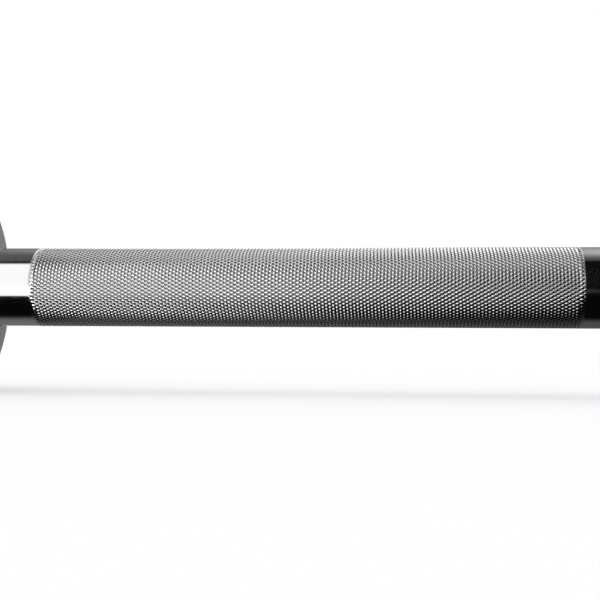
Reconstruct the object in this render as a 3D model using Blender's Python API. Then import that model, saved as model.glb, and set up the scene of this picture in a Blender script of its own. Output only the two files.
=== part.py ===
# Short olympic barbell, 1.2 m long.
# A 28 mm steel shaft with two knurled grips carries a 50 mm sleeve on each end. Each sleeve is
# pressed into a collar, turns on two flanged bronze bushings, and is kept on by a snap ring.
# The bar lies along X. The origin is on the shaft's axis, halfway along. Units are metres.
import math

import bmesh
import bpy
from mathutils import Matrix, Vector

# Driving dimensions of the bar
grip_span = 0.820
grip_diameter = 0.028
sleeve_length = 0.174
sleeve_diameter = 0.050
collar_diameter = 0.075
collar_width = 0.016

# Knurled grips
knurl_length = 0.190
knurl_to_collar = 0.0258
knurl_rise = 0.00005
knurl_runout = 0.001

# Clearances: fixed seats, running fits, the sleeve's end float, the shaft in the collar's web,
# and the circlips in their grooves
seat_gap = 0.0003
running_gap = 0.0001
end_float = 0.0003
web_gap = 0.0004
ring_gap = 0.0001

# Turned edges
edge_chamfer = 0.0010
fine_chamfer = 0.0005
collar_edge = 0.0007

# Shaft ends
journal_step = 0.0015
shoulder_depth = 0.0010
centre_hole_radius = 0.0025
centre_hole_depth = 0.0040

# Collar web and dust seal
web_width = 0.0065
seal_width = 0.0027
seal_depth = 0.0030
seal_lip_width = 0.0012

# Bushings and thrust washers
bushing_wall = 0.0046
bushing_length = 0.040
flange_width = 0.0020
flange_reach = 0.0014
washer_width = 0.0016
washer_margin = 0.0010

# Circlips: the metal round each plier hole
ear_margin = 0.0010

# Snap ring on the shaft, and its groove
snap_width = 0.0012
snap_groove_depth = 0.00055
snap_land = 0.0035
snap_band = 0.0028
snap_band_at_ears = 0.0020
snap_ear = 0.0042
snap_hole = 0.0020
snap_opening = math.radians(26)

# End cap
cap_step = 0.0021
cap_width = 0.0060
cap_rim = 0.0060
cap_recess_depth = 0.0006
shaft_to_cap = 0.0025

# Retaining ring in the tube's mouth, and its groove
clip_width = 0.00175
clip_groove_depth = 0.00125
clip_land = 0.0035
clip_band = 0.0036
clip_band_at_ears = 0.0026
clip_ear = 0.0056
clip_hole = 0.0025
clip_opening = math.radians(38)

# Facets round each turned piece, along a circlip, round its corners and in its plier holes
round_steps = 40
ring_steps = 30
corner_steps = 4
hole_steps = 12

# Edges sharper than this are shaded crisp, and a drill reaches this many strips deep
sharp_angle = math.radians(25)
drill_reach = 4

# Radii of the shaft
grip_radius = grip_diameter / 2
knurl_radius = grip_radius + knurl_rise
journal_radius = grip_radius - journal_step
snap_groove_radius = journal_radius - snap_groove_depth
snap_ring_radius = snap_groove_radius + ring_gap

# Radii of what runs on the journal, from the inside outwards
running_radius = journal_radius + running_gap
bushing_radius = running_radius + bushing_wall
flange_radius = bushing_radius + flange_reach
washer_radius = flange_radius - washer_margin

# Radii of the tube, outside and round the bushings
sleeve_radius = sleeve_diameter / 2
bearing_bore_radius = bushing_radius + seat_gap

# Radii of the tube's mouth: a chamber that clears the snap ring, then the end cap's seat
flange_bore_radius = flange_radius + seat_gap
chamber_radius = max(flange_bore_radius, snap_ring_radius + snap_ear + seat_gap)
cap_bore_radius = chamber_radius + cap_step
cap_radius = cap_bore_radius - seat_gap
cap_recess_radius = cap_radius - cap_rim
clip_groove_radius = cap_bore_radius + clip_groove_depth
clip_radius = clip_groove_radius - ring_gap

# Radii of the collar and its seal
collar_radius = collar_diameter / 2
tube_seat_radius = sleeve_radius + seat_gap
web_bore_radius = grip_radius + web_gap
seal_bore_radius = grip_radius + running_gap
seal_radius = seal_bore_radius + seal_depth
seal_groove_radius = seal_radius + seat_gap

# Places along a sleeve, measured outwards from the collar's inner face
half_span = grip_span / 2
sleeve_end = collar_width + sleeve_length
seal_start = (web_width - seal_width) / 2
seal_groove_start = seal_start - seat_gap
seal_groove_end = seal_start + seal_width + seat_gap
tube_start = web_width + seat_gap
shoulder = web_width + shoulder_depth
inner_washer_start = shoulder + ring_gap
inner_flange_start = inner_washer_start + washer_width + end_float
inner_seat = inner_flange_start + flange_width + seat_gap
clip_groove_end = sleeve_end - clip_land
clip_start = clip_groove_end - ring_gap - clip_width
clip_groove_start = clip_start - ring_gap
cap_start = clip_start - seat_gap - cap_width
cap_seat = cap_start - seat_gap
shaft_end = cap_start - shaft_to_cap
snap_groove_end = shaft_end - snap_land
snap_start = snap_groove_end - ring_gap - snap_width
snap_groove_start = snap_start - ring_gap
outer_washer_end = snap_start - ring_gap
outer_washer_start = outer_washer_end - washer_width
outer_flange_end = outer_washer_start - end_float
outer_seat = outer_flange_end - flange_width - seat_gap


def material(name, colour, roughness, metallic=1.0):
    """A plain Principled material."""
    made = bpy.data.materials.new(name)
    made.use_nodes = True
    shader = made.node_tree.nodes["Principled BSDF"]
    shader.inputs["Base Color"].default_value = (*colour, 1.0)
    shader.inputs["Roughness"].default_value = roughness
    shader.inputs["Metallic"].default_value = metallic
    return made


def finish_mesh(shape, name):
    """Turn a bmesh into a smooth shaded mesh whose edges stay crisp."""
    bmesh.ops.recalc_face_normals(shape, faces=shape.faces)
    mesh = bpy.data.meshes.new(name)
    shape.to_mesh(mesh)
    shape.free()
    mesh.shade_smooth()
    mesh.set_sharp_from_angle(angle=sharp_angle)
    return mesh


def turned(name, outline, closed=True):
    """Turn an outline of (place along X, radius) points round X. The radii are those of the
    facets' flats, so pieces that run in each other clear each other at every angle, and a flat
    lies underneath."""
    to_corners = 1 / math.cos(math.pi / round_steps)
    shape = bmesh.new()
    points = [shape.verts.new((along, radius * to_corners, 0.0)) for along, radius in outline]
    for start, end in zip(points, points[1:]):
        shape.edges.new((start, end))
    if closed:
        shape.edges.new((points[-1], points[0]))
    half_facet = Matrix.Rotation(math.pi / round_steps, 3, "X")
    bmesh.ops.rotate(shape, cent=(0, 0, 0), matrix=half_facet, verts=shape.verts)
    bmesh.ops.spin(
        shape,
        geom=shape.verts[:] + shape.edges[:],
        cent=(0, 0, 0),
        axis=(1, 0, 0),
        angle=math.tau,
        steps=round_steps,
        use_merge=True,
    )
    bmesh.ops.remove_doubles(shape, verts=shape.verts, dist=0.000001)
    return finish_mesh(shape, name)


def drilled(blank, centre, radius, width):
    """Drill a round hole along X through a strip of the given width, and return the drill."""
    bit = bmesh.new()
    bmesh.ops.create_cone(
        bit,
        cap_ends=True,
        segments=hole_steps,
        radius1=radius,
        radius2=radius,
        depth=width * drill_reach,
        matrix=Matrix.Translation(centre) @ Matrix.Rotation(math.pi / 2, 4, "Y"),
    )
    drill = bpy.data.objects.new("drill", finish_mesh(bit, "drill"))
    drill.hide_render = True
    drill.display_type = "WIRE"
    bpy.context.collection.objects.link(drill)
    cut = blank.modifiers.new("plier_hole", "BOOLEAN")
    cut.operation = "DIFFERENCE"
    cut.solver = "EXACT"
    cut.object = drill
    return drill


def eared_ring(name, seat_radius, way, band, band_at_ears, ear, hole, opening, width):
    """Punch a circlip: an open ring of strip, widest opposite its opening, with an ear and a
    plier hole at each end. way is 1 for a ring that grips a shaft, with its ears outwards,
    and -1 for one that springs out into a bore. The opening is at the top."""
    hole_radius = hole / 2
    hole_circle = seat_radius + way * (ear - ear_margin - hole_radius)
    ear_angle = 2 * (hole_radius + ear_margin) / hole_circle
    corner_angle = ear_margin / seat_radius
    first = opening / 2
    last = math.tau - first
    step_angle = (last - first) / ring_steps
    flats_radius = seat_radius / math.cos(step_angle / 2) if way > 0 else seat_radius

    def at(angle, radius):
        return Vector((0.0, radius * math.sin(angle), radius * math.cos(angle)))

    def strip_radius(angle):
        share = (1 - math.cos(angle)) / 2
        return seat_radius + way * (band_at_ears + (band - band_at_ears) * share)

    def ear_points(end, inwards):
        """The rounded corners of one ear, from its free edge back to the strip."""
        low = seat_radius + way * (ear - ear_margin)
        free_corner = []
        back_corner = []
        for step in range(corner_steps + 1):
            turn = math.pi / 2 * step / corner_steps
            free_angle = end + inwards * corner_angle * (1 - math.cos(turn))
            free_corner.append(at(free_angle, low + way * ear_margin * math.sin(turn)))
            back_angle = end + inwards * (ear_angle - corner_angle * (1 - math.sin(turn)))
            back_corner.append(at(back_angle, low + way * ear_margin * math.cos(turn)))
        return free_corner + back_corner

    seat = [at(first + step_angle * step, flats_radius) for step in range(ring_steps + 1)]
    back_first = first + ear_angle + corner_angle
    back_last = last - ear_angle - corner_angle
    back = []
    for step in range(ring_steps + 1):
        angle = back_last + (back_first - back_last) * step / ring_steps
        back.append(at(angle, strip_radius(angle)))
    outline = seat + ear_points(last, -1) + back + ear_points(first, 1)[::-1]

    shape = bmesh.new()
    face = shape.faces.new([shape.verts.new(point) for point in outline])
    grown = bmesh.ops.extrude_face_region(shape, geom=[face])
    moved = [item for item in grown["geom"] if isinstance(item, bmesh.types.BMVert)]
    bmesh.ops.translate(shape, verts=moved, vec=(width, 0, 0))
    blank = bpy.data.objects.new("blank", finish_mesh(shape, "blank"))
    bpy.context.collection.objects.link(blank)

    spare = [blank]
    for angle in (first + ear_angle / 2, last - ear_angle / 2):
        spare.append(drilled(blank, at(angle, hole_circle), hole_radius, width))
    bpy.context.view_layer.update()
    punched = blank.evaluated_get(bpy.context.evaluated_depsgraph_get())
    mesh = bpy.data.meshes.new_from_object(punched)
    mesh.name = name
    for used in spare:
        bpy.data.objects.remove(used)
    return mesh


def shaft_mesh():
    """One bar: two knurled bands, a shoulder and a journal on each end, and a groove for the
    snap ring. The ends keep the centre holes that the bar was turned between."""
    knurl_outer = half_span - knurl_to_collar
    knurl_inner = knurl_outer - knurl_length
    half = [
        (knurl_inner - knurl_runout, grip_radius),
        (knurl_inner, knurl_radius),
        (knurl_outer, knurl_radius),
        (knurl_outer + knurl_runout, grip_radius),
        (half_span + shoulder - fine_chamfer, grip_radius),
        (half_span + shoulder, grip_radius - fine_chamfer),
        (half_span + shoulder, journal_radius),
        (half_span + snap_groove_start, journal_radius),
        (half_span + snap_groove_start, snap_groove_radius),
        (half_span + snap_groove_end, snap_groove_radius),
        (half_span + snap_groove_end, journal_radius),
        (half_span + shaft_end - edge_chamfer, journal_radius),
        (half_span + shaft_end, journal_radius - edge_chamfer),
        (half_span + shaft_end, centre_hole_radius),
        (half_span + shaft_end - centre_hole_depth, 0.0),
    ]
    other_half = [(-along, radius) for along, radius in reversed(half)]
    return turned("shaft", other_half + half, closed=False)


def collar_mesh():
    """The ring that plates stop against: a web round the shaft with a groove for the dust seal,
    and a counterbore that the tube is pressed into."""
    return turned("collar", [
        (0.0, web_bore_radius),
        (0.0, collar_radius - collar_edge),
        (collar_edge, collar_radius),
        (collar_width - collar_edge, collar_radius),
        (collar_width, collar_radius - collar_edge),
        (collar_width, tube_seat_radius),
        (web_width, tube_seat_radius),
        (web_width, web_bore_radius),
        (seal_groove_end, web_bore_radius),
        (seal_groove_end, seal_groove_radius),
        (seal_groove_start, seal_groove_radius),
        (seal_groove_start, web_bore_radius),
    ])


def seal_mesh():
    """A rubber ring with a thinner lip that wipes the shaft."""
    lip_start = (seal_width - seal_lip_width) / 2
    lip_end = (seal_width + seal_lip_width) / 2
    neck_radius = seal_bore_radius + seal_depth / 2
    return turned("dust_seal", [
        (lip_start, seal_bore_radius),
        (0.0, neck_radius),
        (0.0, seal_radius),
        (seal_width, seal_radius),
        (seal_width, neck_radius),
        (lip_end, seal_bore_radius),
    ])


def tube_mesh():
    """The tube that carries the plates: one bore for both bushings, a counterbore for a
    bushing flange at each end, and the end cap's seat and its ring's groove in the mouth."""
    return turned("sleeve_tube", [
        (tube_start, flange_bore_radius),
        (tube_start, sleeve_radius - fine_chamfer),
        (tube_start + fine_chamfer, sleeve_radius),
        (sleeve_end - edge_chamfer, sleeve_radius),
        (sleeve_end, sleeve_radius - edge_chamfer),
        (sleeve_end, cap_bore_radius),
        (clip_groove_end, cap_bore_radius),
        (clip_groove_end, clip_groove_radius),
        (clip_groove_start, clip_groove_radius),
        (clip_groove_start, cap_bore_radius),
        (cap_seat, cap_bore_radius),
        (cap_seat, chamber_radius),
        (outer_seat, chamber_radius),
        (outer_seat, bearing_bore_radius),
        (inner_seat, bearing_bore_radius),
        (inner_seat, flange_bore_radius),
    ])


def bushing_mesh():
    """A flanged bronze bushing: the flange takes the thrust, the barrel runs on the journal."""
    barrel_end = flange_width + bushing_length
    return turned("bushing", [
        (0.0, running_radius),
        (0.0, flange_radius),
        (flange_width, flange_radius),
        (flange_width, bushing_radius),
        (barrel_end - fine_chamfer, bushing_radius),
        (barrel_end, bushing_radius - fine_chamfer),
        (barrel_end, running_radius),
    ])


def washer_mesh():
    """A flat hardened washer, free on the journal."""
    return turned("thrust_washer", [
        (0.0, running_radius),
        (0.0, washer_radius),
        (washer_width, washer_radius),
        (washer_width, running_radius),
    ])


def cap_mesh():
    """A plain disc with a shallow recess in its outer face."""
    return turned("end_cap", [
        (0.0, 0.0),
        (0.0, cap_radius - fine_chamfer),
        (fine_chamfer, cap_radius),
        (cap_width - fine_chamfer, cap_radius),
        (cap_width, cap_radius - fine_chamfer),
        (cap_width, cap_recess_radius),
        (cap_width - cap_recess_depth, cap_recess_radius - cap_recess_depth),
        (cap_width - cap_recess_depth, 0.0),
    ], closed=False)


def snap_ring_mesh():
    """The external circlip that grips the shaft's groove, with its ears outwards."""
    return eared_ring("snap_ring", snap_ring_radius, 1, snap_band, snap_band_at_ears,
                      snap_ear, snap_hole, snap_opening, snap_width)


def retaining_ring_mesh():
    """The internal circlip that springs out into the tube's groove, with its ears inwards."""
    return eared_ring("retaining_ring", clip_radius, -1, clip_band, clip_band_at_ears,
                      clip_ear, clip_hole, clip_opening, clip_width)


def place(name, mesh, finish, parent=None, along=0.0, about=0.0):
    """Add one piece, along its parent's X, turned end for end where about is half a turn."""
    if not mesh.materials:
        mesh.materials.append(finish)
    piece = bpy.data.objects.new(name, mesh)
    piece.parent = parent
    piece.location = (along, 0.0, 0.0)
    piece.rotation_euler = (0.0, 0.0, about)
    bpy.context.collection.objects.link(piece)
    return piece


def axis_empty(name, along, about):
    """An empty on the shaft's axis, in the plane of a collar's inner face, looking outwards."""
    empty = bpy.data.objects.new(name, None)
    empty.location = (along, 0.0, 0.0)
    empty.rotation_euler = (0.0, 0.0, about)
    bpy.context.collection.objects.link(empty)
    return empty


for old in list(bpy.data.objects):
    bpy.data.objects.remove(old)

chrome = material("hard_chrome", (0.62, 0.62, 0.62), 0.16)
collar_chrome = material("satin_chrome", (0.50, 0.50, 0.50), 0.30)
bronze = material("bronze", (0.52, 0.34, 0.16), 0.38)
steel = material("ground_steel", (0.42, 0.42, 0.42), 0.32)
spring_steel = material("spring_steel", (0.06, 0.06, 0.065), 0.42)
rubber = material("black_rubber", (0.02, 0.02, 0.02), 0.75, metallic=0.0)

place("shaft", shaft_mesh(), chrome)

collar = collar_mesh()
seal = seal_mesh()
tube = tube_mesh()
bushing = bushing_mesh()
washer = washer_mesh()
snap_ring = snap_ring_mesh()
cap = cap_mesh()
retaining_ring = retaining_ring_mesh()

for side, direction, about in (("left", -1, math.pi), ("right", 1, 0.0)):
    collar_face = direction * half_span
    sleeve = axis_empty(side + "_sleeve_axis", collar_face, about)
    stack = axis_empty(side + "_shaft_stack", collar_face, about)
    place(side + "_collar", collar, collar_chrome, sleeve)
    place(side + "_dust_seal", seal, rubber, sleeve, seal_start)
    place(side + "_sleeve_tube", tube, chrome, sleeve)
    place(side + "_inner_bushing", bushing, bronze, sleeve, inner_flange_start)
    place(side + "_outer_bushing", bushing, bronze, sleeve, outer_flange_end, math.pi)
    place(side + "_end_cap", cap, steel, sleeve, cap_start)
    place(side + "_retaining_ring", retaining_ring, spring_steel, sleeve, clip_start)
    place(side + "_inner_thrust_washer", washer, steel, stack, inner_washer_start)
    place(side + "_outer_thrust_washer", washer, steel, stack, outer_washer_start)
    place(side + "_snap_ring", snap_ring, spring_steel, stack, snap_start)
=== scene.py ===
import math

import bmesh
import bpy
from mathutils import Matrix, Vector, noise


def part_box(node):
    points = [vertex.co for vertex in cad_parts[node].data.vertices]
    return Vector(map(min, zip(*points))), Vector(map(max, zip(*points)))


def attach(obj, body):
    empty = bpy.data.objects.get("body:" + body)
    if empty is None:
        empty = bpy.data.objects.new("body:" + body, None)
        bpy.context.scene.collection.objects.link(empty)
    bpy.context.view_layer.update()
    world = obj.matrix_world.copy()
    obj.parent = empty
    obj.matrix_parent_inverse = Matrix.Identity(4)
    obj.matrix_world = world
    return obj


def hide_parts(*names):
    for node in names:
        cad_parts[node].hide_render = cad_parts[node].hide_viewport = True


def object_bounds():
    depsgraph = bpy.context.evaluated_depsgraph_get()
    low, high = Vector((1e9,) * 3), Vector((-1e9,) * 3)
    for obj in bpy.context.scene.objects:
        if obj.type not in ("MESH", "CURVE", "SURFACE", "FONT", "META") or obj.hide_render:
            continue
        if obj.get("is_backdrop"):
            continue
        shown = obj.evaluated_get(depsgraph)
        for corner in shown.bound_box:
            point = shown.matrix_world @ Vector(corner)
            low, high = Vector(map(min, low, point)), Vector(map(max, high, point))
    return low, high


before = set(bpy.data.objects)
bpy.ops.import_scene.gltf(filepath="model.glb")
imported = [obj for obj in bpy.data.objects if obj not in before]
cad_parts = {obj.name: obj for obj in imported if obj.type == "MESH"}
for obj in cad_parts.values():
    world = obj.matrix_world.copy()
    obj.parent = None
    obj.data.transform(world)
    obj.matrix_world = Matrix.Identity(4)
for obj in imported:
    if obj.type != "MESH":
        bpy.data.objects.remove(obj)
cad_low, cad_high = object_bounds()

# Camera
# The photograph is a close view of the left grip. The camera stands 37 cm in front of the
# shaft's axis, a little under its height, and looks slightly up and towards the left collar.
scene = bpy.context.scene
collar_face_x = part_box("left_collar")[1].x
photo_pixels = 600
focal_pixels = 1045.8
camera_right_of_collar = 0.15501
camera_distance = 0.36633
camera_drop = 0.01999
camera_turn = 0.09643
camera_rise = 0.04236
camera_roll = 0.00649
lens_data = bpy.data.cameras.new("camera")
lens_data.sensor_width = 36.0
lens_data.lens = focal_pixels * lens_data.sensor_width / photo_pixels
lens_data.clip_start = 0.01
camera = bpy.data.objects.new("camera", lens_data)
camera.matrix_world = (
    Matrix.Translation((collar_face_x + camera_right_of_collar, -camera_distance, -camera_drop))
    @ Matrix.Rotation(camera_turn, 4, "Z")
    @ Matrix.Rotation(math.pi / 2 + camera_rise, 4, "X")
    @ Matrix.Rotation(camera_roll, 4, "Z")
)
scene.collection.objects.link(camera)
scene.camera = camera
scene.view_settings.view_transform = "Standard"

# White surroundings and floor
# The bar lies on its two collars on a pale floor, under an even white sky that looks a little
# brighter than it lights. The floor takes the bar's shadow, and its faint glow makes it white.
floor_z = cad_low.z
floor_half = 12.0
floor_grey = 0.54
floor_glow = 0.485
sky_level = 0.95
world = bpy.data.worlds.new("white_studio")
scene.world = world
world.use_nodes = True
world.node_tree.nodes.clear()


def node(tree, kind, values=(), **settings):
    """Add a shader node, with its settings and the values of some of its sockets."""
    made = tree.nodes.new("ShaderNode" + kind)
    for name, value in settings.items():
        setattr(made, name, value)
    for socket, value in dict(values).items():
        made.inputs[socket].default_value = value
    return made


def reckon(tree, operation, first, second):
    """Work out a value from two others, each of which is a number or another node's output."""
    made = node(tree, "Math", operation=operation)
    for socket, value in zip(made.inputs, (first, second)):
        if isinstance(value, (int, float)):
            socket.default_value = value
        else:
            tree.links.new(value, socket)
    return made.outputs[0]


sky = world.node_tree
path = node(sky, "LightPath").outputs
seen = reckon(sky, "MAXIMUM", path["Is Camera Ray"], path["Is Glossy Ray"])
seen = reckon(sky, "MAXIMUM", seen, path["Is Transmission Ray"])
sky_light = node(sky, "Background", {"Color": (1, 1, 1, 1), "Strength": sky_level})
sky_seen = node(sky, "Background", {"Color": (1, 1, 1, 1), "Strength": 1.0})
sky_mix = node(sky, "MixShader")
sky_out = node(sky, "OutputWorld")
sky.links.new(seen, sky_mix.inputs[0])
sky.links.new(sky_light.outputs[0], sky_mix.inputs[1])
sky.links.new(sky_seen.outputs[0], sky_mix.inputs[2])
sky.links.new(sky_mix.outputs[0], sky_out.inputs[0])

shape = bmesh.new()
bmesh.ops.create_grid(shape, x_segments=1, y_segments=1, size=floor_half)
bmesh.ops.translate(shape, verts=shape.verts, vec=(0, 0, floor_z))
floor_mesh = bpy.data.meshes.new("floor")
shape.to_mesh(floor_mesh)
shape.free()
floor = bpy.data.objects.new("floor", floor_mesh)
scene.collection.objects.link(floor)
floor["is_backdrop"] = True
floor_paint = bpy.data.materials.new("white_floor")
floor_paint.use_nodes = True
floor_shader = floor_paint.node_tree.nodes["Principled BSDF"]
floor_shader.inputs["Base Color"].default_value = (floor_grey, floor_grey, floor_grey, 1)
floor_shader.inputs["Roughness"].default_value = 0.9
floor_shader.inputs["Specular IOR Level"].default_value = 0.0
floor_shader.inputs["Emission Color"].default_value = (1, 1, 1, 1)
floor_shader.inputs["Emission Strength"].default_value = floor_glow
floor_mesh.materials.append(floor_paint)

# Softboxes
# Chrome shows nothing but its surroundings, so the bar lies in a long dark tunnel with softboxes
# on its walls. Only reflections see the tunnel, and its flat bottom lies just above the floor.
tunnel_radius = 0.62
tunnel_half = 1.6
tunnel_sides = 96
tunnel_above_floor = 0.0006
tunnel_weld = 0.00001
dark_level = 0.003

# Each softbox has its two ends along the bar, its two sides as angles round the bar, its
# brightness, and the widths over which it fades out along the bar and round it. The angles are
# in degrees from -75 to 285: 0 is level in front, 90 above and 180 behind.
seam_angle = 75.0
full_turn = 360.0
softboxes = [
    ((-0.74, -0.46), (-18, 69), 1.6, 0.06, 6),
    ((-0.94, -0.32), (-25, -4), 2.8, 0.08, 6),
    ((-0.34, -0.29), (-44, -10), 1.7, 0.08, 6),
    ((-0.44, -0.17), (0, 66), 0.79, 0.09, 43),
    ((-0.54, -0.24), (102, 181), 2.2, 0.06, 65),
    ((0.03, 0.32), (97, 127), 2.6, 0.43, 26),
    ((-1.83, -0.85), (57, 107), 1.5, 0.48, 43),
    ((-0.63, 2.30), (118, 194), 0.36, 0.24, 52),
    ((-2.01, 0.26), (79, 146), 0.12, 0.15, 8),
    ((-1.87, -0.26), (200, 269), 0.28, 0.92, 27),
    ((0.13, 1.32), (110, 161), 1.3, 0.26, 28),
    ((0.06, 0.42), (-1, 46), 0.40, 0.09, 7),
    ((0.62, 2.20), (0, 60), 0.8, 0.12, 10),
    ((-2.40, -1.25), (-10, 60), 0.7, 0.20, 10),
]


def soft_edge(tree, value, place, fade, rising):
    """Between 0 and 1 across a place where a softbox begins (rising) or ends."""
    ends = {"From Min": place - fade / 2, "From Max": place + fade / 2,
            "To Min": 0.0 if rising else 1.0, "To Max": 1.0 if rising else 0.0}
    edge = node(tree, "MapRange", ends, interpolation_type="SMOOTHSTEP")
    tree.links.new(value, edge.inputs[0])
    return edge.outputs[0]


shape = bmesh.new()
bmesh.ops.create_cone(
    shape,
    cap_ends=True,
    segments=tunnel_sides,
    radius1=tunnel_radius,
    radius2=tunnel_radius,
    depth=2 * tunnel_half,
    matrix=Matrix.Rotation(math.pi / 2, 4, "Y"),
)
for vert in shape.verts:
    vert.co.z = max(vert.co.z, floor_z + tunnel_above_floor)
bmesh.ops.remove_doubles(shape, verts=shape.verts, dist=tunnel_weld)
tunnel_mesh = bpy.data.meshes.new("studio_tunnel")
shape.to_mesh(tunnel_mesh)
shape.free()
tunnel = bpy.data.objects.new("studio_tunnel", tunnel_mesh)
scene.collection.objects.link(tunnel)
tunnel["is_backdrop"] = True
tunnel.visible_camera = False
tunnel.visible_diffuse = False
tunnel.visible_shadow = False
tunnel.visible_transmission = False
cards = bpy.data.materials.new("studio_cards")
cards.use_nodes = True
tree = cards.node_tree
tree.nodes.clear()
place = node(tree, "TexCoord")
axes = node(tree, "SeparateXYZ")
tree.links.new(place.outputs["Object"], axes.inputs[0])
forward = reckon(tree, "MULTIPLY", axes.outputs["Y"], -1.0)
around = reckon(tree, "ARCTAN2", axes.outputs["Z"], forward)
around = reckon(tree, "MULTIPLY", around, math.degrees(1))
around = reckon(tree, "ADD", around, seam_angle)
around = reckon(tree, "FLOORED_MODULO", around, full_turn)
around = reckon(tree, "SUBTRACT", around, seam_angle)
shown = dark_level
for ends, sides, level, end_fade, side_fade in softboxes:
    light = level
    for value, (first, last), fade in ((axes.outputs["X"], ends, end_fade),
                                       (around, sides, side_fade)):
        light = reckon(tree, "MULTIPLY", light, soft_edge(tree, value, first, fade, True))
        light = reckon(tree, "MULTIPLY", light, soft_edge(tree, value, last, fade, False))
    shown = reckon(tree, "ADD", shown, light)
glow = node(tree, "Emission")
out = node(tree, "OutputMaterial")
tree.links.new(shown, glow.inputs["Strength"])
tree.links.new(glow.outputs[0], out.inputs["Surface"])
tunnel_mesh.materials.append(cards)

# Shaft
# One bar of 28 mm spring steel, ground, polished and hard chromed. It is turned down to a 25 mm
# journal inside each sleeve, with a groove for the snap ring and a centre hole in each end. The
# two knurled lengths between its smooth lengths have their own section below.
grip_radius = 0.014
journal_radius = 0.0125
groove_radius = 0.01195
knurl_to_collar = 0.0258
knurl_length = 0.1900
shoulder_chamfer = 0.0005
end_chamfer = 0.001
centre_hole_radius = 0.0025
centre_hole_depth = 0.004
ring_gap = 0.0001
round_steps = 192
lathe_weld = 0.0000005
crisp_angle = math.radians(30)
edge_break_steps = 2
chrome_colour = (0.62, 0.62, 0.62)
body_of_side = {"left": "left_sleeve", "right": "right_sleeve"}
way_of_side = {"left": -1, "right": 1}


def object_from(shape, name):
    """Make a smooth shaded object of a bmesh, with its faces outwards."""
    bmesh.ops.recalc_face_normals(shape, faces=shape.faces)
    mesh = bpy.data.meshes.new(name)
    shape.to_mesh(mesh)
    shape.free()
    mesh.shade_smooth()
    made = bpy.data.objects.new(name, mesh)
    scene.collection.objects.link(made)
    return made


def turn(shape, outline, closed=True):
    """Turn an outline of (x, radius) points round the X axis, as on a lathe. One that starts and
    ends on the axis isn't closed."""
    points = [shape.verts.new((x, radius, 0.0)) for x, radius in outline]
    edges = [shape.edges.new(pair) for pair in zip(points, points[1:])]
    if closed:
        edges.append(shape.edges.new((points[-1], points[0])))
    bmesh.ops.spin(shape, geom=points + edges, cent=(0, 0, 0), axis=(1, 0, 0),
                   angle=math.tau, steps=round_steps, use_merge=True)
    bmesh.ops.remove_doubles(shape, verts=shape.verts, dist=lathe_weld)


def break_edges(shape, width):
    """Round the crisp edges of a shape by a small radius."""
    crisp = [edge for edge in shape.edges
             if edge.is_manifold and edge.calc_face_angle() > crisp_angle]
    bmesh.ops.bevel(shape, geom=crisp, offset=width, offset_type="OFFSET",
                    segments=edge_break_steps, profile=0.5, affect="EDGES", material=-1,
                    clamp_overlap=True)


def turned_piece(side, name, outline, edge_break):
    """A turned piece on one side of the bar. Its outline is given outwards from the middle."""
    way = way_of_side[side]
    closed = outline[0][1] > 0.0
    shape = bmesh.new()
    turn(shape, [(way * x, radius) for x, radius in outline], closed)
    break_edges(shape, edge_break)
    made = object_from(shape, side + "_" + name)
    weigh = made.modifiers.new("flat_faces", "WEIGHTED_NORMAL")
    weigh.weight = 100
    return made


def fit(made, material, body, replaced):
    """Give a piece its material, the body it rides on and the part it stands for."""
    made.data.materials.append(material)
    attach(made, body)
    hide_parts(replaced)


def reach(side, name):
    """The places along the bar, outwards from its middle, where a part starts and ends."""
    low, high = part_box(side + "_" + name)
    return sorted((abs(low.x), abs(high.x)))


def turned_metal(name, colour, roughness, spread, mark_depth, marks_per_m):
    """A metal with fine turned marks round the X axis, and faint clouds in its polish."""
    metal = bpy.data.materials.new(name)
    metal.use_nodes = True
    tree = metal.node_tree
    shader = tree.nodes["Principled BSDF"]
    shader.inputs["Metallic"].default_value = 1.0
    place = node(tree, "TexCoord").outputs["Object"]
    axes = node(tree, "SeparateXYZ")
    tree.links.new(place, axes.inputs[0])
    crossways = node(tree, "CombineXYZ")
    tree.links.new(axes.outputs["Y"], crossways.inputs["Y"])
    tree.links.new(axes.outputs["Z"], crossways.inputs["Z"])
    radius = node(tree, "VectorMath", operation="LENGTH")
    tree.links.new(crossways.outputs[0], radius.inputs[0])
    round_marks = node(tree, "CombineXYZ")
    tree.links.new(reckon(tree, "MULTIPLY", axes.outputs["X"], marks_per_m), round_marks.inputs[0])
    tree.links.new(reckon(tree, "MULTIPLY", radius.outputs["Value"], marks_per_m),
                   round_marks.inputs[1])
    lines = node(tree, "TexNoise", {"Scale": 1.0, "Detail": 4.0, "Roughness": 0.6})
    tree.links.new(round_marks.outputs[0], lines.inputs["Vector"])
    clouds = node(tree, "TexNoise", {"Scale": 60.0, "Detail": 5.0, "Roughness": 0.55})
    tree.links.new(place, clouds.inputs["Vector"])
    tone = node(tree, "MapRange", {"From Min": 0.3, "From Max": 0.7, "To Min": 0.94, "To Max": 1.0})
    tree.links.new(clouds.outputs[0], tone.inputs[0])
    paint = node(tree, "Mix", {"A": (0, 0, 0, 1), "B": (*colour, 1)}, data_type="RGBA")
    tree.links.new(tone.outputs[0], paint.inputs["Factor"])
    tree.links.new(paint.outputs["Result"], shader.inputs["Base Color"])
    polish = node(tree, "MapRange", {"From Min": 0.3, "From Max": 0.7,
                                     "To Min": roughness - spread, "To Max": roughness + spread})
    tree.links.new(clouds.outputs[0], polish.inputs[0])
    tree.links.new(polish.outputs[0], shader.inputs["Roughness"])
    bump = node(tree, "Bump", {"Strength": 1.0, "Distance": mark_depth})
    tree.links.new(lines.outputs[0], bump.inputs["Height"])
    tree.links.new(bump.outputs[0], shader.inputs["Normal"])
    return metal


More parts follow.
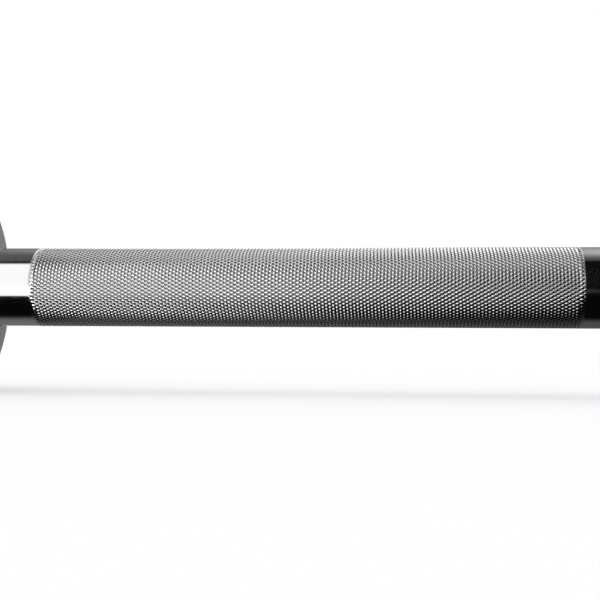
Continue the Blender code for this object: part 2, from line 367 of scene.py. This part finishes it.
knurl_outer_x = -collar_face_x - knurl_to_collar
knurl_inner_x = knurl_outer_x - knurl_length
shoulder_x = reach("right", "inner_thrust_washer")[0] - ring_gap
snap_low_x, snap_high_x = reach("right", "snap_ring")
shaft_end_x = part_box("shaft")[1].x
shaft_chrome = turned_metal("shaft_chrome", chrome_colour, roughness=0.11, spread=0.02,
                            mark_depth=0.0000012, marks_per_m=9000.0)

shape = bmesh.new()
turn(shape, [
    (-knurl_inner_x, 0.0),
    (-knurl_inner_x, grip_radius),
    (knurl_inner_x, grip_radius),
    (knurl_inner_x, 0.0),
], closed=False)
for way in way_of_side.values():
    turn(shape, [(way * x, radius) for x, radius in (
        (knurl_outer_x, 0.0),
        (knurl_outer_x, grip_radius),
        (shoulder_x - shoulder_chamfer, grip_radius),
        (shoulder_x, grip_radius - shoulder_chamfer),
        (shoulder_x, journal_radius),
        (snap_low_x - ring_gap, journal_radius),
        (snap_low_x - ring_gap, groove_radius),
        (snap_high_x + ring_gap, groove_radius),
        (snap_high_x + ring_gap, journal_radius),
        (shaft_end_x - end_chamfer, journal_radius),
        (shaft_end_x, journal_radius - end_chamfer),
        (shaft_end_x, centre_hole_radius),
        (shaft_end_x - centre_hole_depth, 0.0),
    )], closed=False)
shaft = object_from(shape, "shaft_smooth")
shaft.data.set_sharp_from_angle(angle=crisp_angle)
fit(shaft, shaft_chrome, "shaft", "shaft")

# Knurled grips
# The grips are rolled into the same bar by two knurling wheels, whose V grooves cross at about
# 30 degrees to the axis and leave flat topped diamonds. The grooves run out at each end. Both
# sets are counted from the bar's middle, in front, with starts that are shares of one step.
rising_grooves = 62
falling_grooves = 62
rising_per_m = 420.80
falling_per_m = 415.90
rising_start = 0.864
falling_start = 0.756
groove_depth = 0.00042
wall_run = 0.00026
shoulder_run = 0.00021
shoulder_drop = 0.00007
run_out = 0.0016
unevenness = 0.00001
uneven_per_m = 900.0
grid_half = 0.5
grid_weld = 0.00001
spare_rows = 3

# The bottoms of the grooves and the ridges at each diamond's wide corners are crisp. Its narrow
# corners and the rims of its top are round.
valley_angle = math.radians(95)
ridge_angles = (math.radians(40), math.radians(60))


def knurl(name, low_x, high_x):
    """Cut the diamonds of one grip between two places along the bar. They start as a grid, with
    the rising grooves counted along it and the falling ones across it, wrapped round the bar."""
    lines = rising_per_m * falling_grooves + falling_per_m * rising_grooves
    first = math.floor(low_x * lines / falling_grooves) - rising_grooves - 1
    count = math.ceil((high_x - low_x) * lines / falling_grooves) + rising_grooves + spare_rows
    shape = bmesh.new()
    bmesh.ops.create_grid(shape, x_segments=count, y_segments=falling_grooves, size=grid_half)
    for vert in shape.verts:
        rising = first + (vert.co.x + grid_half) * count + rising_start
        falling = (vert.co.y + grid_half) * falling_grooves + falling_start
        x = (rising * falling_grooves + falling * rising_grooves) / lines
        angle = math.tau * (falling * rising_per_m - rising * falling_per_m) / lines
        vert.co = (x, -grip_radius * math.cos(angle), grip_radius * math.sin(angle))
    bmesh.ops.remove_doubles(shape, verts=shape.verts, dist=grid_weld)
    valleys = set(shape.verts)
    tops = list(shape.faces)
    bmesh.ops.inset_individual(shape, faces=tops, thickness=wall_run, use_even_offset=True)
    walls = set(shape.verts) - valleys
    bmesh.ops.inset_individual(shape, faces=tops, thickness=shoulder_run, use_even_offset=True)
    crests = set(shape.verts) - valleys - walls
    for verts, depth in ((valleys, groove_depth), (walls, shoulder_drop), (crests, 0.0)):
        for vert in verts:
            from_end = min(vert.co.x - low_x, high_x - vert.co.x)
            share = min(max(from_end / run_out, 0.0), 1.0)
            uneven = unevenness * noise.noise(vert.co * uneven_per_m)
            radius = grip_radius - (depth + abs(uneven)) * share
            scale = radius / math.hypot(vert.co.y, vert.co.z)
            vert.co = (vert.co.x, vert.co.y * scale, vert.co.z * scale)
    for x, side in ((low_x, -1), (high_x, 1)):
        geom = shape.verts[:] + shape.edges[:] + shape.faces[:]
        bmesh.ops.bisect_plane(shape, geom=geom, plane_co=(x, 0, 0), plane_no=(side, 0, 0),
                               clear_outer=True)
    rims = [edge for edge in shape.edges if edge.is_boundary]
    bmesh.ops.holes_fill(shape, edges=rims, sides=0)
    bmesh.ops.recalc_face_normals(shape, faces=shape.faces)
    crisp = [edge.is_manifold and (
        ridge_angles[0] < edge.calc_face_angle() < ridge_angles[1]
        or edge.calc_face_angle() > valley_angle) for edge in shape.edges]
    made = object_from(shape, name)
    marks = made.data.attributes.new("sharp_edge", "BOOLEAN", "EDGE")
    marks.data.foreach_set("value", crisp)
    return made


knurl_chrome = turned_metal("knurl_chrome", chrome_colour, roughness=0.11, spread=0.02,
                            mark_depth=0.000001, marks_per_m=4000.0)
for side, way in way_of_side.items():
    ends = sorted((way * knurl_inner_x, way * knurl_outer_x))
    fit(knurl(side + "_knurl", *ends), knurl_chrome, "shaft", "shaft")

# Collars
# A turned steel ring on the inner end of each sleeve, satin chromed. Plates stop against its
# outer face. Its web closes round the shaft with a small gap, and holds the dust seal.
collar_radius = 0.0375
collar_chamfer = 0.0007
collar_edge_break = 0.00008
web_width = 0.0065
web_bore = 0.0144
seal_groove_radius = 0.0174
seat_gap = 0.0003
tube_radius = 0.025
tube_gap = 0.0001
satin_colour = (0.24, 0.24, 0.245)
collar_chrome = turned_metal("collar_chrome", satin_colour, roughness=0.27, spread=0.03,
                             mark_depth=0.0000015, marks_per_m=2500.0)
for side in way_of_side:
    inner, outer = reach(side, "collar")
    seal_low, seal_high = reach(side, "dust_seal")
    collar = turned_piece(side, "collar_ring", [
        (inner, web_bore),
        (inner, collar_radius - collar_chamfer),
        (inner + collar_chamfer, collar_radius),
        (outer - collar_chamfer, collar_radius),
        (outer, collar_radius - collar_chamfer),
        (outer, tube_radius + collar_chamfer),
        (outer - collar_chamfer + tube_gap, tube_radius + tube_gap),
        (inner + web_width, tube_radius + tube_gap),
        (inner + web_width, web_bore),
        (seal_high + seat_gap, web_bore),
        (seal_high + seat_gap, seal_groove_radius),
        (seal_low - seat_gap, seal_groove_radius),
        (seal_low - seat_gap, web_bore),
    ], collar_edge_break)
    fit(collar, collar_chrome, body_of_side[side], side + "_collar")

# Dust seals
# A moulded ring of black nitrile rubber, pressed into the groove in the collar's web. It wipes
# the shaft with its thinner lip.
lip_radius = 0.0141
lip_inset = 0.00075
seal_neck = 0.0156
seal_radius = 0.0171
seal_edge_break = 0.00015
rubber = bpy.data.materials.new("nitrile")
rubber.use_nodes = True
tree = rubber.node_tree
shader = tree.nodes["Principled BSDF"]
shader.inputs["Specular IOR Level"].default_value = 0.35
grain = node(tree, "TexNoise", {"Scale": 2500.0, "Detail": 4.0})
tree.links.new(node(tree, "TexCoord").outputs["Object"], grain.inputs["Vector"])
black = node(tree, "MapRange", {"From Min": 0.3, "From Max": 0.7, "To Min": 0.012, "To Max": 0.030})
tree.links.new(grain.outputs[0], black.inputs[0])
tree.links.new(black.outputs[0], shader.inputs["Base Color"])
sheen = node(tree, "MapRange", {"From Min": 0.3, "From Max": 0.7, "To Min": 0.6, "To Max": 0.85})
tree.links.new(grain.outputs[0], sheen.inputs[0])
tree.links.new(sheen.outputs[0], shader.inputs["Roughness"])
bump = node(tree, "Bump", {"Strength": 1.0, "Distance": 0.00001})
tree.links.new(grain.outputs[0], bump.inputs["Height"])
tree.links.new(bump.outputs[0], shader.inputs["Normal"])
for side in way_of_side:
    low, high = reach(side, "dust_seal")
    seal = turned_piece(side, "seal_ring", [
        (low + lip_inset, lip_radius),
        (low, seal_neck),
        (low, seal_radius),
        (high, seal_radius),
        (high, seal_neck),
        (high - lip_inset, lip_radius),
    ], seal_edge_break)
    fit(seal, rubber, body_of_side[side], side + "_dust_seal")

# Sleeve tubes
# The 50 mm steel tube that carries the plates, ground, polished and hard chromed. It is pressed
# into the collar. Both bushings sit in its bore, and its mouth takes the end cap and its ring.
flange_bore = 0.0189
flange_seat_depth = 0.0023
bearing_bore = 0.0175
cap_bore = 0.0210
clip_groove_radius = 0.02225
tube_chamfer = 0.0010
small_chamfer = 0.0005
tube_edge_break = 0.00012
sleeve_chrome = turned_metal("sleeve_chrome", chrome_colour, roughness=0.13, spread=0.02,
                             mark_depth=0.0000012, marks_per_m=6000.0)
for side in way_of_side:
    inner, outer = reach(side, "sleeve_tube")
    inner_seat = reach(side, "inner_bushing")[0] + flange_seat_depth
    outer_seat = reach(side, "outer_bushing")[1] - flange_seat_depth
    cap_seat = reach(side, "end_cap")[0] - seat_gap
    clip_low, clip_high = reach(side, "retaining_ring")
    tube = turned_piece(side, "sleeve", [
        (inner, flange_bore),
        (inner, tube_radius - small_chamfer),
        (inner + small_chamfer, tube_radius),
        (outer - tube_chamfer, tube_radius),
        (outer, tube_radius - tube_chamfer),
        (outer, cap_bore + small_chamfer),
        (outer - small_chamfer, cap_bore),
        (clip_high + ring_gap, cap_bore),
        (clip_high + ring_gap, clip_groove_radius),
        (clip_low - ring_gap, clip_groove_radius),
        (clip_low - ring_gap, cap_bore),
        (cap_seat, cap_bore),
        (cap_seat, flange_bore),
        (outer_seat, flange_bore),
        (outer_seat, bearing_bore),
        (inner_seat, bearing_bore),
        (inner_seat, flange_bore),
    ], tube_edge_break)
    fit(tube, sleeve_chrome, body_of_side[side], side + "_sleeve_tube")

# Bushings
# Each sleeve turns on two flanged bushings of oiled sintered bronze, pressed into its bore from
# both ends. Their flanges take the thrust. Oil darkens the pores of the bronze.
bushing_bore = 0.0126
bushing_radius = 0.0172
bushing_chamfer = 0.0005
bushing_edge_break = 0.00010
flange_radius = 0.0186
flange_width = 0.0020
bronze_colour = (0.52, 0.34, 0.16)
oil_colour = (0.16, 0.09, 0.04, 1)
bronze = turned_metal("oiled_bronze", bronze_colour, roughness=0.36, spread=0.06,
                      mark_depth=0.000002, marks_per_m=3000.0)
tree = bronze.node_tree
shader = tree.nodes["Principled BSDF"]
pores = node(tree, "TexNoise", {"Scale": 5000.0, "Detail": 3.0})
tree.links.new(node(tree, "TexCoord").outputs["Object"], pores.inputs["Vector"])
oiled = node(tree, "MapRange", {"From Min": 0.36, "From Max": 0.46})
tree.links.new(pores.outputs[0], oiled.inputs[0])
metal_colour = shader.inputs["Base Color"].links[0].from_socket
speckled = node(tree, "Mix", {"A": oil_colour}, data_type="RGBA")
tree.links.new(oiled.outputs[0], speckled.inputs["Factor"])
tree.links.new(metal_colour, speckled.inputs["B"])
tree.links.new(speckled.outputs["Result"], shader.inputs["Base Color"])
for side in way_of_side:
    for name, flange_inside in (("inner_bushing", True), ("outer_bushing", False)):
        low, high = reach(side, name)
        flange_end = low if flange_inside else high
        along = 1 if flange_inside else -1
        far_end = flange_end + along * (high - low)
        bushing = turned_piece(side, name + "_body", [
            (flange_end, bushing_bore),
            (flange_end, flange_radius),
            (flange_end + along * flange_width, flange_radius),
            (flange_end + along * flange_width, bushing_radius),
            (far_end - along * bushing_chamfer, bushing_radius),
            (far_end, bushing_radius - bushing_chamfer),
            (far_end, bushing_bore),
        ], bushing_edge_break)
        fit(bushing, bronze, body_of_side[side], side + "_" + name)

# Thrust washers
# Flat hardened steel washers, ground on both faces and loose on the journal. One stands between
# the shaft's shoulder and the inner bushing, the other between the outer bushing and the snap ring.
washer_radius = 0.0176
washer_edge_break = 0.00012
steel_colour = (0.42, 0.42, 0.42)
ground_steel = turned_metal("ground_steel", steel_colour, roughness=0.28, spread=0.05,
                            mark_depth=0.000001, marks_per_m=5000.0)
for side in way_of_side:
    for name in ("inner_thrust_washer", "outer_thrust_washer"):
        low, high = reach(side, name)
        washer = turned_piece(side, name + "_disc", [
            (low, bushing_bore),
            (low, washer_radius),
            (high, washer_radius),
            (high, bushing_bore),
        ], washer_edge_break)
        fit(washer, ground_steel, "shaft", side + "_" + name)

# Snap rings
# A black spring steel circlip, punched from strip, grips the groove near each end of the shaft,
# behind the outer washer. Its two ears, with holes for pliers, are at the top.
ring_points = 96
corner_points = 8
hole_points = 40
ear_margin = 0.0010
clip_crisp_angle = math.radians(40)
spring_colour = (0.06, 0.06, 0.065)
spring_steel = turned_metal("black_spring_steel", spring_colour, roughness=0.38, spread=0.06,
                            mark_depth=0.000002, marks_per_m=1500.0)


def circlip(side, name, seat_radius, way, band, ear_band, ear, hole, opening):
    """Punch a circlip: an open ring of strip with an ear and a plier hole at each end. way is 1
    for ears outwards and -1 for ears inwards. band is the strip's width opposite its opening and
    ear_band its width beside the ears, ear is how far they stand out, and hole is the width of
    their holes. opening is the angle between the ears, which is centred on the top."""
    low, high = sorted(way_of_side[side] * x for x in reach(side, name))
    hole_circle = seat_radius + way * (ear - ear_margin - hole / 2)
    ear_angle = 2 * (hole / 2 + ear_margin) / hole_circle
    corner_angle = ear_margin / seat_radius
    first = opening / 2
    last = math.tau - first

    def at(angle, radius):
        """A point on the first face of the ring, at an angle from the top."""
        return Vector((low, radius * math.sin(angle), radius * math.cos(angle)))

    def strip_at(angle):
        """A point on the free edge of the strip, which is widest opposite the opening."""
        share = (1 - math.cos(angle)) / 2
        return at(angle, seat_radius + way * (ear_band + (band - ear_band) * share))

    def sweep(start, end, steps):
        """Even steps from one angle to another."""
        return [start + (end - start) * step / steps for step in range(steps + 1)]

    def ear_outline(end, inwards):
        """One ear with two round corners, from the end of the ring back to its strip."""
        corner = seat_radius + way * (ear - ear_margin)
        outline = []
        for bend in sweep(0.0, math.pi / 2, corner_points):
            angle = end + inwards * corner_angle * (1 - math.cos(bend))
            outline.append(at(angle, corner + way * ear_margin * math.sin(bend)))
        for bend in sweep(0.0, math.pi / 2, corner_points):
            angle = end + inwards * (ear_angle - corner_angle * (1 - math.sin(bend)))
            outline.append(at(angle, corner + way * ear_margin * math.cos(bend)))
        return outline

    back_edge = ear_angle + corner_angle
    loops = [
        [at(angle, seat_radius) for angle in sweep(first, last, ring_points)]
        + ear_outline(last, -1)
        + [strip_at(angle) for angle in sweep(last - back_edge, first + back_edge, ring_points)]
        + ear_outline(first, 1)[::-1]
    ]
    for angle in (first + ear_angle / 2, last - ear_angle / 2):
        middle = at(angle, hole_circle)
        loops.append([
            middle + Vector((0.0, math.cos(bend), math.sin(bend))) * hole / 2
            for bend in sweep(0.0, math.tau, hole_points)[:-1]
        ])
    shape = bmesh.new()
    for loop in loops:
        points = [shape.verts.new(point) for point in loop]
        for pair in zip(points, points[1:] + points[:1]):
            shape.edges.new(pair)
    bmesh.ops.triangle_fill(shape, edges=shape.edges[:], use_beauty=True)
    grown = bmesh.ops.extrude_face_region(shape, geom=shape.faces[:], use_keep_orig=True)
    moved = [item for item in grown["geom"] if isinstance(item, bmesh.types.BMVert)]
    bmesh.ops.translate(shape, verts=moved, vec=(high - low, 0, 0))
    made = object_from(shape, side + "_" + name + "_clip")
    made.data.set_sharp_from_angle(angle=clip_crisp_angle)
    return made


for side in way_of_side:
    clip = circlip(side, "snap_ring", seat_radius=0.01205, way=1, band=0.0028, ear_band=0.0020,
                   ear=0.0042, hole=0.0020, opening=math.radians(26))
    fit(clip, spring_steel, "shaft", side + "_snap_ring")

# End caps
# A turned and zinc plated steel disc closes the mouth of each tube, and the retaining ring holds
# it in. Its face is bare, with a shallow round recess.
cap_radius = 0.0207
cap_chamfer = 0.0005
cap_edge_break = 0.00012
recess_radius = 0.0147
recess_depth = 0.0006
zinc_colour = (0.45, 0.45, 0.46)
cap_steel = turned_metal("turned_zinc", zinc_colour, roughness=0.26, spread=0.04,
                         mark_depth=0.0000035, marks_per_m=2200.0)
for side in way_of_side:
    low, high = reach(side, "end_cap")
    cap = turned_piece(side, "cap_disc", [
        (low, 0.0),
        (low, cap_radius - cap_chamfer),
        (low + cap_chamfer, cap_radius),
        (high - cap_chamfer, cap_radius),
        (high, cap_radius - cap_chamfer),
        (high, recess_radius),
        (high - recess_depth, recess_radius - recess_depth),
        (high - recess_depth, 0.0),
    ], cap_edge_break)
    fit(cap, cap_steel, body_of_side[side], side + "_end_cap")

# Retaining rings
# A larger circlip of the same black steel springs out into the groove in each tube's mouth and
# keeps the end cap in. Its ears point inwards, over the cap's rim.
for side in way_of_side:
    clip = circlip(side, "retaining_ring", seat_radius=0.02215, way=-1, band=0.0036,
                   ear_band=0.0026, ear=0.0056, hole=0.0025, opening=math.radians(38))
    fit(clip, spring_steel, body_of_side[side], side + "_retaining_ring")

# Size and end
low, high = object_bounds()
